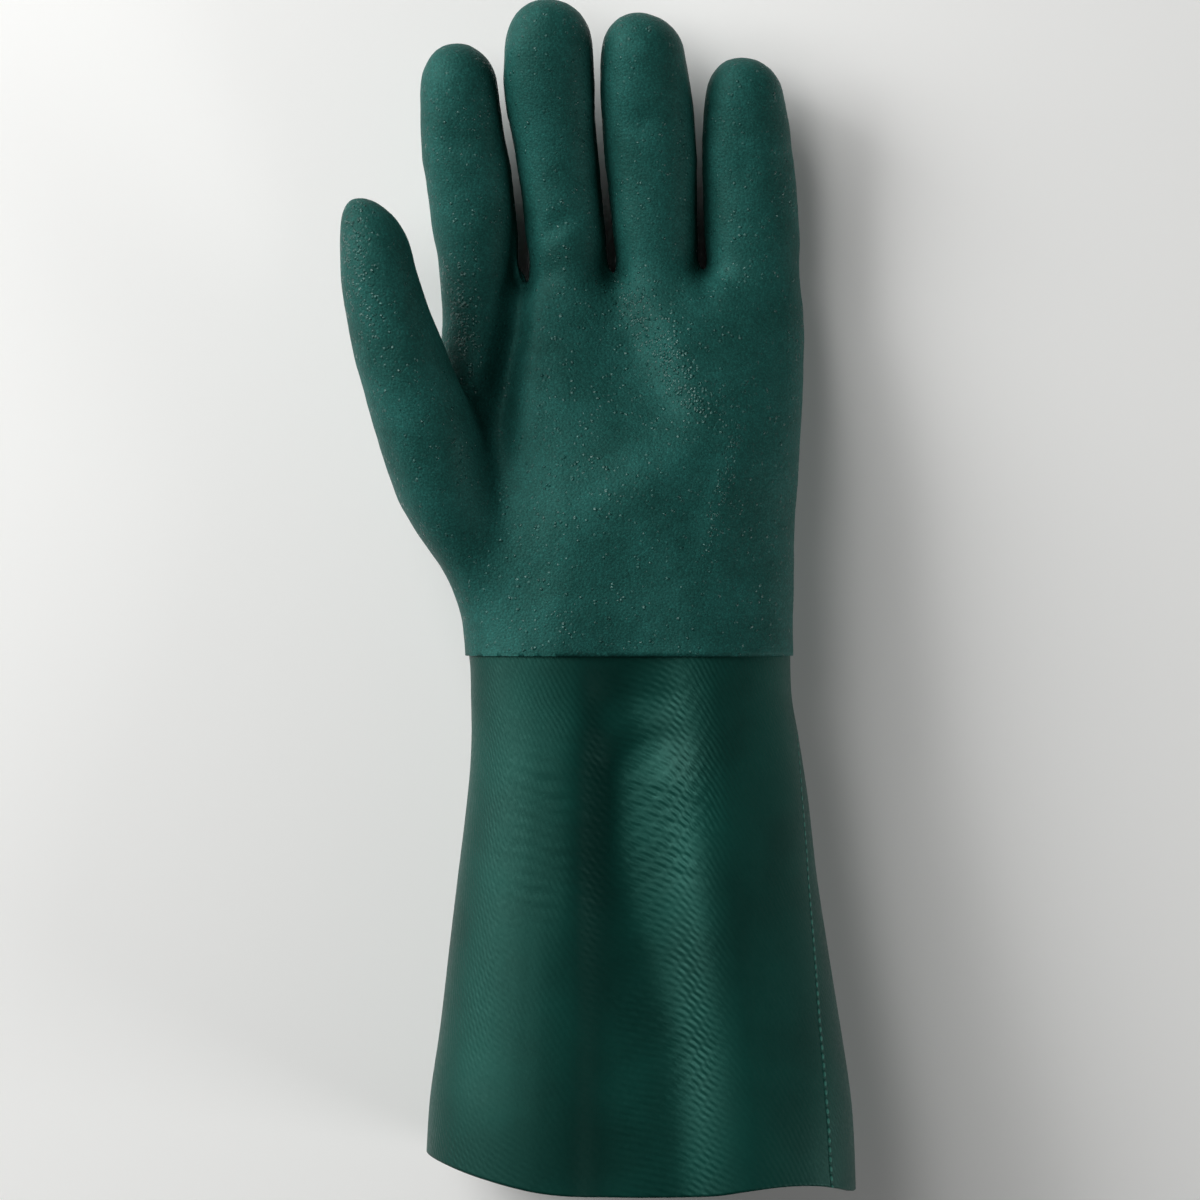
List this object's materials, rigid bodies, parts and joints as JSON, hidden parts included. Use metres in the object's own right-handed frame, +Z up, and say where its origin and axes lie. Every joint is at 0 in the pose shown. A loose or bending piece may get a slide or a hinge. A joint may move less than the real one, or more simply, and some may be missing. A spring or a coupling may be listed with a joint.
{
  "type": "PVC coated work glove",
  "caption": "Left-hand work glove of green PVC over knit, lying palm up: sandy-grip hand with five hollow fingers and a long smooth flared gauntlet cuff, open at the hem.",
  "frame": {"origin": "centre of the glove's outline in plan, on the surface it lies on", "axes": "+Z up out of the palm, +Y along the glove towards the fingertips, +X towards the little finger"},
  "size_m": [0.1528, 0.3548, 0.071],
  "materials": {
    "sandy_pvc": "matte PVC with a fine sandy grit, dark bottle green",
    "smooth_pvc": "smooth semi-gloss PVC over interlock knit, dark bottle green"
  },
  "bodies": {
    "root": {"sandy_hand": "sandy_pvc", "gauntlet_cuff": "smooth_pvc"}
  },
  "joints": []
}
